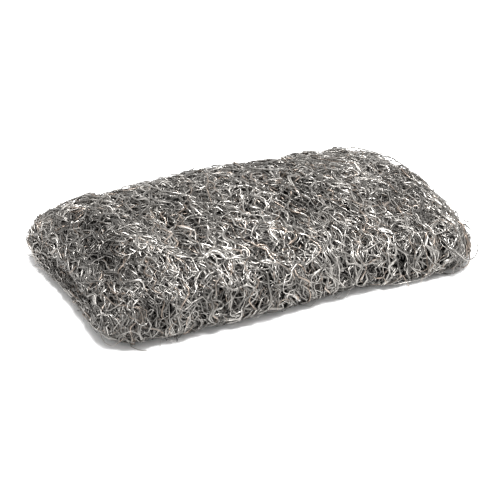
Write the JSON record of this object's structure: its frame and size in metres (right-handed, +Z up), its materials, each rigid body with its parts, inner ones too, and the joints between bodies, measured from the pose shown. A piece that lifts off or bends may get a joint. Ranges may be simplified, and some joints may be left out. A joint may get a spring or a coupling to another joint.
{
  "type": "steel wool pad",
  "caption": "Oblong hand pad of coarse grey steel wool, wound flat from one long batt of curly fibre, for scouring and rubbing down.",
  "frame": {"origin": "middle of the pad's footprint, on the surface that it lies on", "axes": "+X along the pad's length, which is the axis that the batt is wound round; +Y across its width; +Z up through its thickness"},
  "size_m": [0.1082, 0.0642, 0.0204],
  "materials": {
    "steel_wool": "coarse bare steel fibre, matt in the mass with bright glints"
  },
  "bodies": {
    "root": {"wool_pad": "steel_wool"}
  },
  "joints": []
}
